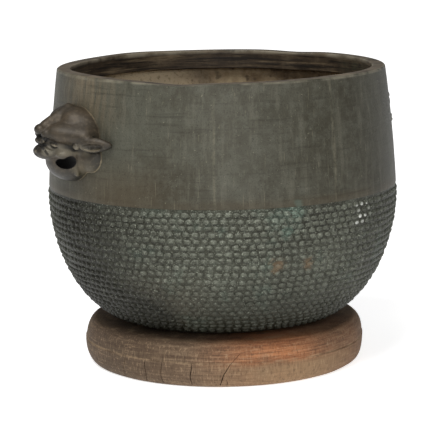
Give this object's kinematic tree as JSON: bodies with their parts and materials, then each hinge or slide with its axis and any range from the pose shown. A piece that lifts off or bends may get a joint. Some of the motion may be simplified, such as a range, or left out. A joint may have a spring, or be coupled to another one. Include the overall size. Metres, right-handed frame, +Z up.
{
  "type": "hibachi brazier",
  "caption": "Round cast bronze brazier, hollow and open at the top, with rows of bosses, a lion-mask handle on each side and a turned wooden stand.",
  "frame": {"origin": "centre of the stand's underside, on the ground", "axes": "+Z up along the bowl's axis, X through the two lion masks, -X the mask seen in the picture"},
  "size_m": [0.5512, 0.4498, 0.3852],
  "materials": {
    "patinated_bronze": "satin",
    "brown_bronze": "satin",
    "weathered_wood": "matte"
  },
  "bodies": {
    "root": {"bowl": "patinated_bronze", "lion_mask_left": "brown_bronze", "lion_mask_right": "brown_bronze", "stand": "weathered_wood"}
  },
  "joints": []
}
